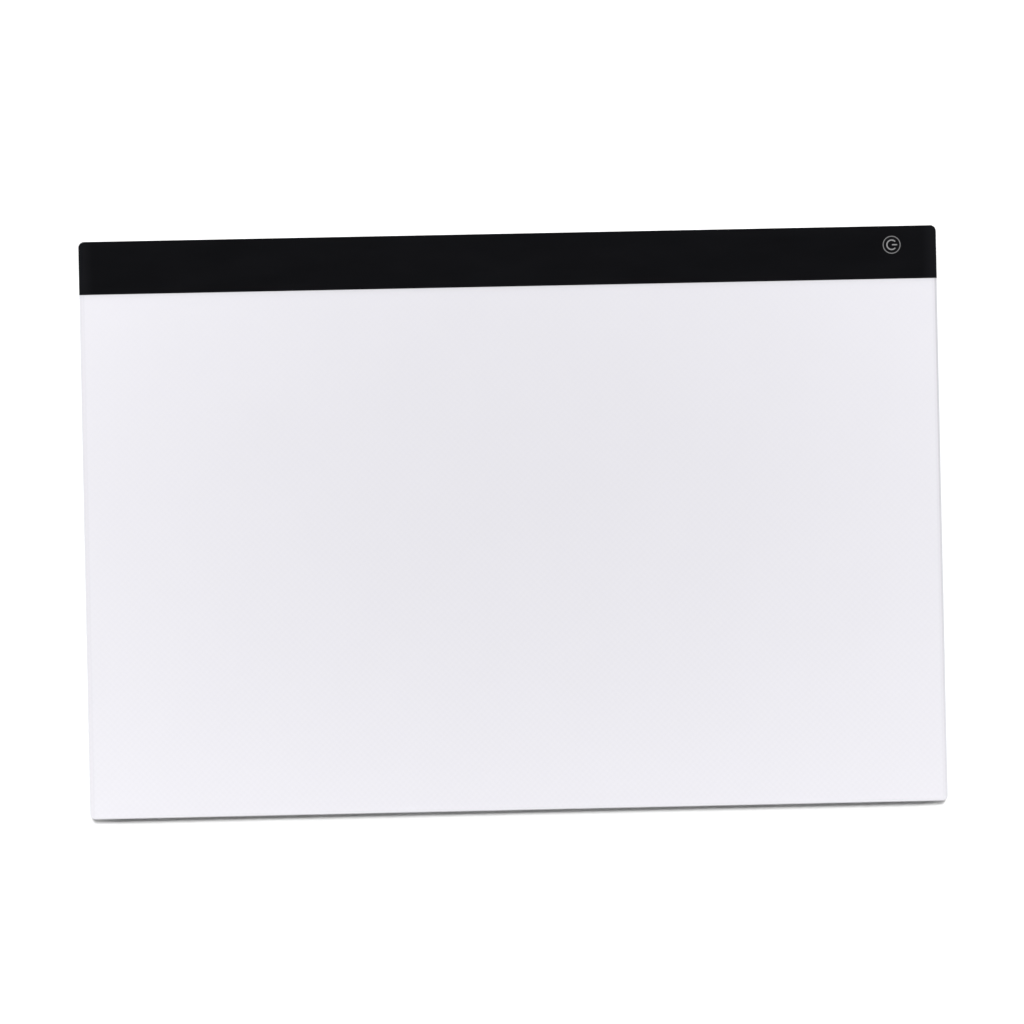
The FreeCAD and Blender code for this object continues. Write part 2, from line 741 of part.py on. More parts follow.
def gull_wing_chip(label, prefix, legs_front, legs_rear):
    """A moulded chip with flat legs: how many in front, how many behind."""
    def own(name):
        return f"{prefix}_{name}"

    body = new_body("Chip", own("x"), own("y"), CONTROL_TOP)
    case = new_sketch(body, "Case", lift="chip_standoff")
    draw_rectangle(case, f"-{own('length')} / 2", f"-{own('width')} / 2", own("length"),
                   own("width"))
    add_pad(body, case, own("height"))
    legs = new_sketch(body, "Legs")
    front = f"(-{own('width')} / 2 - leg_reach)"
    rear = f"({own('width')} / 2 - leg_bite)"
    for count, edge in ((legs_front, front), (legs_rear, rear)):
        for index in range(count):
            offset = index - (count - 1) / 2
            left = f"({offset} * {own('pitch')} - leg_width / 2)"
            draw_rectangle(legs, left, edge, "leg_width", "(leg_reach + leg_bite)")
    add_pad(body, legs, "leg_thickness")
    keep(body, label)


def make_packages():
    """The touch controller, the transistor that dims the LEDs, and the key's foam."""
    gull_wing_chip("touch_controller", "touch_chip", 4, 4)
    gull_wing_chip("dimmer_mosfet", "switch_chip", 2, 1)
    foam = disc("key_foam_radius", KEY_X, KEY_Y, CONTROL_TOP, f"({PANEL_UNDER} - {CONTROL_TOP})")
    keep(foam, "touch_foam_pad")


# ---------------------------------------------------------------- socket

def socket_profile(inset):
    """Corners of the socket's section: full width above, with sloping lower sides.

    The sloping sides move in by part of the inset, which keeps their wall about as thick.
    """
    side = f"(socket_width / 2 - {inset})"
    low = f"(socket_width / 2 - socket_shoulder - {inset} / 2)"
    top = f"(socket_height - {inset})"
    shoulder = f"(socket_height - socket_side_height - {inset} / 4)"
    return [(f"-{low}", f"{inset}"), (low, f"{inset}"), (side, shoulder), (side, top),
            (f"-{side}", top), (f"-{side}", shoulder)]


def make_socket_shell():
    """The socket's steel shell, closed at its rear, with two tabs that sit on the board."""
    body = new_body("SocketShell", SOCKET_MOUTH, SOCKET_Y, f"({FLOOR_TOP} + socket_lift)")
    outside = new_sketch(body, "Outside", plane="YZ_Plane")
    draw_polygon(outside, socket_profile("0"))
    add_pad(body, outside, "socket_length", downward=True)
    along_x = number("socket_length") - 1e-3
    dress(body, "Fillet", lambda box: box.XLength > along_x, "socket_corner")
    inside = new_sketch(body, "Inside", plane="YZ_Plane")
    draw_polygon(inside, socket_profile("socket_wall"))
    add_pocket(body, inside, "(socket_length - socket_wall)")
    tab_under = f"({CONTROL_TOP} - {FLOOR_TOP} - socket_lift)"
    tabs = new_sketch(body, "Tabs", lift=tab_under)
    bite = "(socket_wall / 2)"
    for left in (f"(socket_width / 2 - {bite})", f"(-socket_width / 2 + {bite} - tab_width)"):
        draw_rectangle(tabs, "(-tab_from_mouth - tab_length)", left, "tab_length", "tab_width")
    add_pad(body, tabs, "tab_thickness")
    keep(body, "usb_shell")


def make_socket_inside():
    """The socket's black insulator with its tongue, and the five contacts with their tails."""
    base = f"({FLOOR_TOP} + socket_lift)"
    rear_wall = "(-socket_length + socket_wall)"
    body = new_body("SocketInsulator", SOCKET_MOUTH, SOCKET_Y, base)
    block = new_sketch(body, "Block", plane="YZ_Plane", lift=rear_wall)
    draw_polygon(block, socket_profile("(socket_wall + insulator_gap)"))
    add_pad(body, block, "insulator_block")
    tongue = new_sketch(body, "Tongue", plane="YZ_Plane",
                        lift=f"({rear_wall} + insulator_block / 2)")
    draw_rectangle(tongue, "-tongue_width / 2", "tongue_lift", "tongue_width",
                   "tongue_thickness")
    add_pad(body, tongue, "(insulator_block / 2 + tongue_length)")
    keep(body, "usb_insulator")

    first_y = f"({SOCKET_Y} - (contact_count - 1) * contact_pitch / 2)"
    contacts = new_body("SocketContacts", SOCKET_MOUTH, first_y, base)
    blade = new_sketch(contacts, "Blade", lift="(tongue_lift - contact_thickness)")
    draw_rectangle(blade, f"({rear_wall} + insulator_block)", "-contact_width / 2",
                   "contact_length", "contact_width")
    blade_pad = add_pad(contacts, blade, "contact_thickness")
    tail = new_sketch(contacts, "Tail", lift=f"({CONTROL_TOP} - {base})")
    draw_rectangle(tail, "(-socket_length - tail_gap - tail_length)", "-contact_width / 2",
                   "tail_length", "contact_width")
    tail_pad = add_pad(contacts, tail, "contact_thickness")
    add_row(contacts, [blade_pad, tail_pad], "Y_Axis", "contact_pitch", "contact_count")
    keep(contacts, "usb_contacts")


# ---------------------------------------------------------------- leads

def rounded_route(corners, share):
    """A wire of straight runs joined by tangent arcs, which use a share of the shorter run."""
    edges = []
    start = corners[0]
    for before, corner, after in zip(corners, corners[1:], corners[2:]):
        back = before - corner
        ahead = after - corner
        trim = share * min(back.Length, ahead.Length)
        half_turn = (math.pi - back.getAngle(ahead)) / 2
        radius = trim / math.tan(half_turn)
        print(f"  bend radius {radius:.2f} mm")
        bend_in = corner + back.normalize() * trim
        bend_out = corner + ahead.normalize() * trim
        inward = (back + ahead).normalize()
        centre = corner + inward * (radius / math.cos(half_turn))
        bend_middle = centre - inward * radius
        edges.append(Part.LineSegment(start, bend_in).toShape())
        edges.append(Part.Arc(bend_in, bend_middle, bend_out).toShape())
        start = bend_out
    edges.append(Part.LineSegment(start, corners[-1]).toShape())
    return Part.Wire(edges)


def make_leads():
    """Two insulated leads, each a tube along its own route, lying on the boards."""
    height = number(f"{CONTROL_TOP} + lead_radius")
    for label, points in LEAD_ROUTES.items():
        print(label)
        corners = [FreeCAD.Vector(x, y, height) for x, y in points]
        route = doc.addObject("Part::Feature", "Route")
        route.Shape = rounded_route(corners, SIZES["lead_bend_share"])
        section = doc.addObject("Part::Circle", "Section")
        bind(section, Radius="lead_radius")
        section.Placement = FreeCAD.Placement(
            corners[0], FreeCAD.Rotation(FreeCAD.Vector(0, 0, 1), corners[1] - corners[0]))
        tube = doc.addObject("Part::Sweep", "Tube")
        tube.Sections = [section]
        tube.Spine = (route, [f"Edge{index + 1}" for index in range(len(route.Shape.Edges))])
        tube.Solid = True
        doc.recompute()
        expected = math.pi * SIZES["lead_radius"] ** 2 * route.Shape.Length
        if abs(tube.Shape.Volume - expected) > 0.01 * expected:
            raise RuntimeError(f"{label}: the tube's volume isn't its section times its length")
        keep(tube, label)


def make_solder():
    """A small cone of solder where each lead's end meets its board."""
    joints = []
    reach = "(solder_radius + solder_gap)"
    for points in LEAD_ROUTES.values():
        ends = ((points[0], f"+ {reach}", CONTROL_TOP), (points[-1], f"- {reach}", STRIP_BOARD_TOP))
        for (x, y), step, under in ends:
            joint = doc.addObject("Part::Cone", "Solder")
            bind(joint, Radius1="solder_radius", Radius2="solder_top_radius",
                 Height="solder_height")
            place(joint, f"({x} {step})", f"{y}", under)
            joints.append(joint)
    group = doc.addObject("Part::Compound", "SolderJoints")
    group.Links = joints
    keep(group, "solder_joints")


# ---------------------------------------------------------------- whole pad

def check_document():
    """Stop if any object has failed or any sub-part's shape is missing or broken."""
    for item in doc.Objects:
        if {"Invalid", "Error"} & set(item.State):
            raise RuntimeError(f"{item.Name} failed: {item.State}")
    for item in subparts:
        if item.Shape.isNull() or not item.Shape.isValid() or not item.Shape.Solids:
            raise RuntimeError(f"{item.Label} has no valid solid")


def export():
    """Write one STEP file for each sub-part."""
    os.makedirs("parts", exist_ok=True)
    for item in subparts:
        item.Shape.exportStep(f"parts/{item.Label}.step")
        box = item.Shape.BoundBox
        print(f"{item.Label:22s} {len(item.Shape.Solids):3d} solids  {item.Shape.Volume:10.2f} mm3"
              f"  z {box.ZMin:.2f} to {box.ZMax:.2f}")


fill_sheet()
make_tray()
make_feet()
make_layers()
make_strip_board()
make_leds()
make_chips()
make_control_board()
make_packages()
make_socket_shell()
make_socket_inside()
make_leads()
make_solder()
make_panel_tape()
make_panel()
make_header_film()
doc.recompute()
check_document()
export()
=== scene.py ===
"""Looks of the slim LED tracing pad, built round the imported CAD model.

The frame is the CAD model's: +Z up out of the panel, +X along the long side, +Y towards the black
header strip.  Blender works in metres.  Sizes here are in millimetres and are scaled once.
"""
import math

import bmesh
import bpy
from mathutils import Matrix, Vector, noise


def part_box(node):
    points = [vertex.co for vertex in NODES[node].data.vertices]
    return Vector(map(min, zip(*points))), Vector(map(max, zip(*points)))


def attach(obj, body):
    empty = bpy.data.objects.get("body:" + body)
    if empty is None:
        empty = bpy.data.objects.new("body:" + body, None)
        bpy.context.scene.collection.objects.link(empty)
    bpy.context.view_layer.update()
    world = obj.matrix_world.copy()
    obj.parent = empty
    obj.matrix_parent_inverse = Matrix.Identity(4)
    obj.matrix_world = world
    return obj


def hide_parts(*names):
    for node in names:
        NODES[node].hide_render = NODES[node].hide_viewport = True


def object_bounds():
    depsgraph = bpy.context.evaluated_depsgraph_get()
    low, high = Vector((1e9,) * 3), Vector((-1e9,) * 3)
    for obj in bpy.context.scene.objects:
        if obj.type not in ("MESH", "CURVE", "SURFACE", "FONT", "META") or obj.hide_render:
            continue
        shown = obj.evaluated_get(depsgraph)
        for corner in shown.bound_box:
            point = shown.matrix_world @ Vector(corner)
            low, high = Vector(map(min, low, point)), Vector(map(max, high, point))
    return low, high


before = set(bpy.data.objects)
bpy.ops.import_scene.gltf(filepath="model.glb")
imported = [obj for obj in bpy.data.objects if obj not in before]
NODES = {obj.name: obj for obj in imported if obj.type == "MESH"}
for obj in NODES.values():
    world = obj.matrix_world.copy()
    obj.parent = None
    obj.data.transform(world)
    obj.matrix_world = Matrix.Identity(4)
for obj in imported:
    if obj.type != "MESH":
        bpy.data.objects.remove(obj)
cad_low, cad_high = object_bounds()
MM = 0.001

# Camera: straight above the pad, rolled a little and almost square on
LENS_MM = 85.0
CAMERA_DISTANCE = 1014.0
CAMERA_ROLL = 1.210
CAMERA_TILT_X = -0.111
CAMERA_TILT_Y = 0.563
CAMERA_SHIFT = (0.73, -4.09)

# Studio
FLOOR_HALF_SIZE = 12000.0
FLOOR_ALBEDO = 0.98
KEY_COUNT = 4
KEY_SLOPES = (0.28, 0.51)
KEY_LEVEL = 0.76
KEY_SPREAD = 4.0
SIDE_SLOPES = (0.6, 1.2, 1.9, 2.9)
SIDE_SLOPE_BACK = 0.63
SIDE_LEVEL = 0.17
SIDE_SPREAD = 10.0
HORIZON_LEVEL = 1.06
ZENITH_LEVEL = 0.02
SKY_FADE = (0.16, 0.34)

# Opal panel: painted light that makes its tone lighter from the middle outwards, painted shade
# lines near its ends, along its rim and in front of the ink, and the guide's dots that show
# through
PANEL_COLOUR = (0.694, 0.686, 0.724)
PANEL_SIDE_PAINTED_LIGHT = 0.065
PANEL_LEFT_PAINTED_LIGHT = 0.011
PANEL_END_PAINTED_LIGHT = 0.051
PANEL_FRONT_PAINTED_LIGHT = 0.031
PANEL_CORNER_PAINTED_LIGHT = 0.018
PANEL_CLOUD = 0.004
DOT_PITCH = 1.45
DOT_CONTRAST = 0.012
WALL_LINE_INSET = 1.9
WALL_LINE_REACH = 0.35
WALL_LINE_SHADE = 0.025
SIDE_BAND_SHADE = 0.02
RIM_LINE_INSET = 0.7
RIM_LINE_REACH = 0.4
RIM_LINE_SHADE = 0.09
RIM_RIGHT_SHADE = 0.065
RIM_REAR_SHARE = 0.5
INK_SHADE = 0.14
INK_FALL = 1.1

# Black ink: on the panel's edge above a height, and on the film, paler towards its ends
INK_COLOUR = (0.0042, 0.0042, 0.0049)
INK_FROM_Z = (5.2, 5.3)
FILM_COLOUR = (0.0050, 0.0050, 0.0059)
FILM_END_GAIN = 1.6
FILM_END_REACH = (2.0, 6.0)

# Pale ink of the power mark, with how much of it the outer ring keeps
KEY_INK_COLOUR = (0.288, 0.288, 0.293)
KEY_RING_SHARE = 0.69
KEY_RING_FROM = (2.9, 3.2)


def box_mm(node):
    """A CAD node's lowest and highest corners in millimetres."""
    low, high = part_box(node)
    return low / MM, high / MM


panel_low, panel_high = box_mm("cover_panel")
film_low, film_high = box_mm("header_overlay")
icon_low, icon_high = box_mm("power_icon")
STRIP_LINE = film_low.y

# Places and sizes of the small parts, as they are in the CAD model
LED_COUNT = 48
LED_PITCH = 7.0
LED_FIRST_X = -(LED_COUNT - 1) * LED_PITCH / 2
LED_SIZE = (3.8, 1.0, 1.2)
LED_FRONT = box_mm("side_leds")[0].y
LED_MARGIN = 0.3
LED_RECESS = 0.15
LED_END_WIDTH = 0.45
LED_END_HEIGHT = 0.45
LED_END_FRONT = 0.25
STRIP_TOP = 2.9
CONTROL_TOP = 3.0
RESISTOR_SIZE = (1.6, 0.8, 0.45)
CAPACITOR_SIZE = (2.0, 1.25, 0.85)
STRIP_RESISTORS = [(-157.5 + 21.0 * index, 106.6) for index in range(16)]
CONTROL_RESISTORS = [(144.0 + 2.6 * index, 118.3) for index in range(4)]
CAPACITORS = [(143.0 + 3.2 * index, 109.9) for index in range(3)]
TOUCH_CHIP = {"centre": (148.0, 114.6), "size": (4.9, 3.9, 1.1), "pitch": 1.27, "legs": (4, 4)}
DIMMER_CHIP = {"centre": (140.6, 112.0), "size": (2.9, 1.3, 1.0), "pitch": 1.9, "legs": (2, 1)}
LEG_WIDTH = 0.4
LEG_REACH = 0.8
LEG_THICKNESS = 0.16
CHIP_STANDOFF = 0.1
SOLDER_JOINTS = [(134.95, 110.6, CONTROL_TOP), (134.95, 113.2, CONTROL_TOP),
                 (121.85, 105.6, STRIP_TOP), (121.25, 107.2, STRIP_TOP)]
KEY_CENTRE = tuple((icon_low + icon_high).xy / 2)
PAD_THICKNESS = 0.03

# Copper tracks on the strip board: the Y of each track's middle and half its width
STRIP_TRACKS = ((104.9, 0.3), (107.7, 0.25))
COPPER_THICKNESS = 0.035


# ---------------------------------------------------------------- node graphs

class Graph:
    """The node tree of one material, with short calls to add and join its nodes."""

    def __init__(self, name):
        self.material = bpy.data.materials.new(name)
        self.material.use_nodes = True
        self.tree = self.material.node_tree
        self.tree.nodes.clear()
        output = self.tree.nodes.new("ShaderNodeOutputMaterial")
        self.shader = self.tree.nodes.new("ShaderNodeBsdfPrincipled")
        self.join(self.shader.outputs["BSDF"], output.inputs["Surface"])
        place = self.tree.nodes.new("ShaderNodeTexCoord").outputs["Object"]
        self.place = self.scaled(place, 1 / MM)
        self.x, self.y, self.z = self.parts(self.place)

    def join(self, source, target):
        """Link an output to an input, or set the input to a plain value."""
        if isinstance(source, bpy.types.NodeSocket):
            self.tree.links.new(source, target)
        else:
            target.default_value = source

    def math(self, operation, first, second=0.0, third=0.0):
        """The result of a Math node."""
        node = self.tree.nodes.new("ShaderNodeMath")
        node.operation = operation
        for source, target in zip((first, second, third), node.inputs):
            self.join(source, target)
        return node.outputs[0]

    def add(self, *terms):
        """The sum of two or more values."""
        total = terms[0]
        for term in terms[1:]:
            total = self.math("ADD", total, term)
        return total

    def times(self, *factors):
        """The product of two or more values."""
        total = factors[0]
        for factor in factors[1:]:
            total = self.math("MULTIPLY", total, factor)
        return total

    def parts(self, vector):
        """The three parts of a vector."""
        node = self.tree.nodes.new("ShaderNodeSeparateXYZ")
        self.join(vector, node.inputs[0])
        return node.outputs

    def product(self, first, second):
        """Two vectors multiplied part by part."""
        node = self.tree.nodes.new("ShaderNodeVectorMath")
        node.operation = "MULTIPLY"
        self.join(first, node.inputs[0])
        self.join(second, node.inputs[1])
        return node.outputs[0]

    def scaled(self, vector, factor):
        """A vector or colour multiplied by one factor."""
        node = self.tree.nodes.new("ShaderNodeVectorMath")
        node.operation = "SCALE"
        self.join(vector, node.inputs[0])
        self.join(factor, node.inputs["Scale"])
        return node.outputs[0]

    def spread(self, value, low, high, from_low=0.0, from_high=1.0):
        """Map a value from one range to another, held at the ends."""
        node = self.tree.nodes.new("ShaderNodeMapRange")
        self.join(value, node.inputs["Value"])
        for name, number in (("From Min", from_low), ("From Max", from_high),
                             ("To Min", low), ("To Max", high)):
            self.join(number, node.inputs[name])
        return node.outputs["Result"]

    def away(self, value, centre):
        """How far a value is from a centre."""
        return self.math("ABSOLUTE", self.math("SUBTRACT", value, centre))

    def repeat(self, value, pitch, centre):
        """How far a value is from the nearest of a row of centres, with its sign."""
        return self.math("WRAP", self.math("SUBTRACT", value, centre), pitch / 2, -pitch / 2)

    def within(self, distance, reach, soft=0.02):
        """1 where a distance is under the reach and 0 beyond it."""
        return self.spread(distance, 1.0, 0.0, reach - soft, reach + soft)

    def noise(self, grain, detail=2.0, stretch=(1, 1, 1)):
        """Noise from 0 to 1 with lumps about as many millimetres across as the grain."""
        node = self.tree.nodes.new("ShaderNodeTexNoise")
        self.join(self.product(self.place, stretch), node.inputs["Vector"])
        self.join(1 / grain, node.inputs["Scale"])
        self.join(detail, node.inputs["Detail"])
        return node.outputs["Fac"]

    def cells(self, grain):
        """Distance from the middle of each of a foam's cells, from 0 to about 1."""
        node = self.tree.nodes.new("ShaderNodeTexVoronoi")
        self.join(self.place, node.inputs["Vector"])
        self.join(1 / grain, node.inputs["Scale"])
        return node.outputs["Distance"]

    def mix(self, factor, first, second):
        """A blend of two colours."""
        node = self.tree.nodes.new("ShaderNodeMix")
        node.data_type = "RGBA"
        self.join(factor, node.inputs[0])
        for source, target in ((first, node.inputs[6]), (second, node.inputs[7])):
            self.join(source if isinstance(source, bpy.types.NodeSocket) else (*source, 1.0),
                      target)
        return node.outputs[2]

    def bump(self, height, depth):
        """Relief as deep as the given millimetres."""
        node = self.tree.nodes.new("ShaderNodeBump")
        node.inputs["Distance"].default_value = depth * MM
        self.join(height, node.inputs["Height"])
        self.join(node.outputs["Normal"], self.shader.inputs["Normal"])

    def put(self, **inputs):
        """Join or set the shader's inputs, named with underscores for spaces."""
        for name, source in inputs.items():
            self.join(source, self.shader.inputs[name.replace("_", " ")])


def moulded(name, colour, roughness, grain=0.35, relief=0.004, mottle=0.03, **fixed):
    """A moulded or cast solid: faint mottling, an even grain and a slightly uneven sheen."""
    graph = Graph(name)
    cloud = graph.spread(graph.noise(18.0, 3.0), 1 - mottle, 1 + mottle, 0.3, 0.7)
    fine = graph.noise(grain, 3.0)
    graph.put(Base_Color=graph.scaled(colour, cloud),
              Roughness=graph.spread(fine, roughness - 0.06, roughness + 0.06, 0.3, 0.7),
              **fixed)
    graph.bump(fine, relief)
    return graph.material


def metal(name, colour, roughness, grain=0.2, relief=0.002, stretch=(1, 1, 1)):
    """Bare metal with drawn or brushed marks and small differences in polish."""
    graph = Graph(name)
    marks = graph.noise(grain, 3.0, stretch)
    tarnish = graph.noise(2.5, 2.0)
    graph.put(Base_Color=graph.scaled(colour, graph.spread(tarnish, 0.88, 1.04, 0.3, 0.7)),
              Roughness=graph.spread(marks, roughness * 0.7, roughness * 1.3, 0.3, 0.7),
              Metallic=1.0)
    graph.bump(marks, relief)
    return graph.material


def sheet_material(name, colour, roughness, grain, relief, mottle=0.02, stretch=(1, 1, 1),
                   **fixed):
    """A film or tape with fibres or calender marks along one way."""
    graph = Graph(name)
    marks = graph.noise(grain, 3.0, stretch)
    cloud = graph.noise(14.0, 2.0)
    tone = graph.times(graph.spread(marks, 1 - mottle, 1 + mottle, 0.3, 0.7),
                       graph.spread(cloud, 0.985, 1.015, 0.3, 0.7))
    graph.put(Base_Color=graph.scaled(colour, tone),
              Roughness=graph.spread(marks, roughness - 0.05, roughness + 0.05, 0.3, 0.7),
              **fixed)
    graph.bump(marks, relief)
    return graph.material


# ---------------------------------------------------------------- materials outside

def opal_panel():
    """Matt opal acrylic, with painted light that makes it lighter towards its edges, and the
    guide's dots just showing.
    """
    graph = Graph("opal_panel")
    middle_y = (panel_low.y + STRIP_LINE) / 2
    u = graph.math("DIVIDE", graph.x, panel_high.x)
    v = graph.math("DIVIDE", graph.math("SUBTRACT", graph.y, middle_y), STRIP_LINE - middle_y)
    # Painted light: lighter towards the sides, the ends and the front, and a touch lighter on the
    # left
    tone = graph.add(1.0, graph.times(u, u, PANEL_SIDE_PAINTED_LIGHT), graph.times(v, v, PANEL_END_PAINTED_LIGHT),
                     graph.times(u, -PANEL_LEFT_PAINTED_LIGHT), graph.times(v, -PANEL_FRONT_PAINTED_LIGHT),
                     graph.times(u, u, v, PANEL_CORNER_PAINTED_LIGHT))

    # Dots of the light guide, in a staggered lattice that is plainer towards the front
    turn = math.pi / DOT_PITCH
    dots = graph.times(graph.math("SINE", graph.times(graph.x, turn)),
                       graph.math("SINE", graph.times(graph.y, turn)),
                       graph.spread(v, DOT_CONTRAST, DOT_CONTRAST * 0.3, -1.0, 1.0))
    cloud = graph.spread(graph.noise(40.0, 2.0), -PANEL_CLOUD, PANEL_CLOUD, 0.3, 0.7)
    tone = graph.add(tone, dots, cloud)

    # Painted shade where the tray's wall lies behind the panel: a thin darker line near both
    # ends, with a slightly darker band outside it.  A painted shade line follows the rim,
    # plainest on the right and towards the header.
    from_side = graph.math("SUBTRACT", panel_high.x, graph.math("ABSOLUTE", graph.x))
    above_side = graph.spread(graph.z, 0.0, 1.0, *INK_FROM_Z)
    painted_wall_shade_line = graph.within(graph.away(from_side, WALL_LINE_INSET), WALL_LINE_REACH, 0.25)
    painted_wall_shade_band = graph.within(from_side, WALL_LINE_INSET, 0.2)
    painted_rim_shade_line = graph.times(
        graph.within(graph.away(from_side, RIM_LINE_INSET), RIM_LINE_REACH, 0.2), above_side,
        graph.add(RIM_LINE_SHADE, graph.times(u, RIM_RIGHT_SHADE)),
        graph.add(1.0, graph.times(v, RIM_REAR_SHARE)))

    # Painted shade: the panel darkens just in front of the film's ink
    from_ink = graph.math("SUBTRACT", STRIP_LINE, graph.y)
    ink_shade = graph.math("EXPONENT", graph.times(from_ink, -INK_FALL))
    shade = graph.add(1.0, graph.times(painted_wall_shade_line, -WALL_LINE_SHADE),
                      graph.times(painted_wall_shade_band, -SIDE_BAND_SHADE), graph.times(painted_rim_shade_line, -1.0),
                      graph.times(graph.math("MINIMUM", ink_shade, 1.0), -INK_SHADE))

    # Ink also covers the panel's own edge behind the film
    under_ink = graph.spread(graph.y, 0.0, 1.0, STRIP_LINE - 0.02, STRIP_LINE + 0.02)
    fine = graph.noise(0.12, 2.0)
    base = graph.mix(graph.times(under_ink, above_side),
                     graph.scaled(PANEL_COLOUR, graph.times(tone, shade)), INK_COLOUR)
    graph.put(Base_Color=base, Roughness=graph.spread(fine, 0.42, 0.55), IOR=1.49)
    graph.bump(fine, 0.003)
    return graph.material


def header_film():
    """Satin black film with a fine hard coat, a touch paler towards its ends."""
    graph = Graph("header_film")
    fine = graph.noise(0.15, 2.0)
    streak = graph.noise(9.0, 3.0, stretch=(0.35, 1, 1))
    from_side = graph.math("SUBTRACT", film_high.x, graph.math("ABSOLUTE", graph.x))
    ends = graph.spread(from_side, FILM_END_GAIN, 1.0, *FILM_END_REACH)
    tone = graph.times(graph.spread(streak, 0.9, 1.1, 0.3, 0.7), ends)
    graph.put(Base_Color=graph.scaled(FILM_COLOUR, tone),
              Roughness=graph.spread(streak, 0.28, 0.31, 0.3, 0.7), IOR=1.5,
              Specular_IOR_Level=0.25)
    graph.bump(fine, 0.001)
    return graph.material


def key_ink():
    """Pale grey screen ink, thinner on the outer ring and uneven in places."""
    graph = Graph("key_ink")
    fine = graph.noise(0.3, 3.0)
    out_x = graph.math("SUBTRACT", graph.x, KEY_CENTRE[0])
    out_y = graph.math("SUBTRACT", graph.y, KEY_CENTRE[1])
    radius = graph.math("SQRT", graph.add(graph.times(out_x, out_x), graph.times(out_y, out_y)))
    ring = graph.spread(radius, 1.0, KEY_RING_SHARE, *KEY_RING_FROM)
    graph.put(Base_Color=graph.scaled(KEY_INK_COLOUR,
                                      graph.times(ring, graph.spread(fine, 0.85, 1.1, 0.3, 0.7))),
              Roughness=graph.spread(fine, 0.45, 0.6), Specular_IOR_Level=0.3)
    graph.bump(fine, 0.004)
    return graph.material


def foot_rubber():
    """Dark rubber with a dusting of lighter specks."""
    graph = Graph("foot_rubber")
    fine = graph.noise(0.25, 4.0)
    dust = graph.spread(graph.noise(0.6, 4.0), 0.0, 1.0, 0.62, 0.75)
    graph.put(Base_Color=graph.mix(graph.times(dust, 0.5), (0.026, 0.026, 0.028),
                                   (0.12, 0.12, 0.12)),
              Roughness=graph.spread(fine, 0.68, 0.85, 0.3, 0.7), Specular_IOR_Level=0.35)
    graph.bump(fine, 0.02)
    return graph.material


# ---------------------------------------------------------------- materials inside

def light_guide():
    """Clear acrylic with a staggered lattice of white ink dots that grow away from the LEDs."""
    graph = Graph("acrylic_clear")
    guide_low, guide_high = box_mm("light_guide_plate")
    size = graph.spread(graph.y, 0.85, 0.35, guide_low.y, guide_high.y)
    dots = 0.0
    for centre in (0.0, DOT_PITCH):
        across = graph.repeat(graph.x, DOT_PITCH * 2, centre)
        along = graph.repeat(graph.y, DOT_PITCH * 2, centre)
        away = graph.math("SQRT", graph.add(graph.times(across, across),
                                            graph.times(along, along)))
        dots = graph.math("MAXIMUM", dots, graph.spread(graph.math("SUBTRACT", size, away),
                                                        0.0, 1.0, -0.05, 0.05))
    underside = graph.spread(graph.z, 1.0, 0.0, guide_low.z + 0.01, guide_low.z + 0.03)
    dots = graph.times(dots, underside)
    fine = graph.noise(0.5, 2.0)
    graph.put(Base_Color=graph.mix(dots, (0.90, 0.94, 0.95), (0.97, 0.97, 0.97)),
              Roughness=graph.add(graph.spread(fine, 0.03, 0.07), graph.times(dots, 0.5)),
              IOR=1.49, Transmission_Weight=0.6)
    graph.bump(fine, 0.0005)
    return graph.material


def strip_board():
    """White solder mask over two long tracks that stand up a little."""
    graph = Graph("board_white")
    supply, ground = [graph.within(graph.away(graph.y, middle), reach)
                      for middle, reach in STRIP_TRACKS]
    tracks = graph.math("MAXIMUM", supply, ground)
    weave = graph.noise(0.4, 3.0, stretch=(0.4, 1, 1))
    graph.put(Base_Color=graph.scaled((0.78, 0.78, 0.76),
                                      graph.add(graph.spread(weave, 0.97, 1.02, 0.3, 0.7),
                                                graph.times(tracks, -0.05))),
              Roughness=graph.spread(weave, 0.32, 0.42, 0.3, 0.7))
    graph.bump(graph.add(tracks, graph.times(weave, 0.15)), COPPER_THICKNESS)
    return graph.material


def control_board():
    """Green solder mask over copper tracks that run square to each other."""
    graph = Graph("board_green")
    half_width = 0.14
    along_x = graph.within(graph.away(graph.repeat(graph.y, 1.1, 0.3), 0.0), half_width)
    along_y = graph.within(graph.away(graph.repeat(graph.x, 1.6, 0.2), 0.0), half_width)
    patch = graph.spread(graph.noise(4.0, 0.0), 0.0, 1.0, 0.48, 0.5)
    inverse = graph.math("SUBTRACT", 1.0, patch)
    tracks = graph.add(graph.times(along_x, patch), graph.times(along_y, inverse))
    weave = graph.noise(0.3, 3.0)
    green = graph.mix(tracks, (0.012, 0.105, 0.042), (0.030, 0.200, 0.078))
    graph.put(Base_Color=graph.scaled(green, graph.spread(weave, 0.92, 1.06, 0.3, 0.7)),
              Roughness=graph.spread(weave, 0.24, 0.34, 0.3, 0.7), Coat_Weight=0.3)
    graph.bump(graph.add(tracks, graph.times(weave, 0.1)), COPPER_THICKNESS)
    return graph.material


def foam():
    """Grey foam with open cells, with painted shade in their hollows."""
    graph = Graph("foam_grey")
    cells = graph.cells(0.35)
    # Painted shade: each cell is darker towards its middle, where its hollow is deepest
    graph.put(Base_Color=graph.scaled((0.11, 0.11, 0.12), graph.spread(cells, 0.55, 1.25)),
              Roughness=0.9, Specular_IOR_Level=0.2)
    graph.bump(cells, 0.12)
    return graph.material


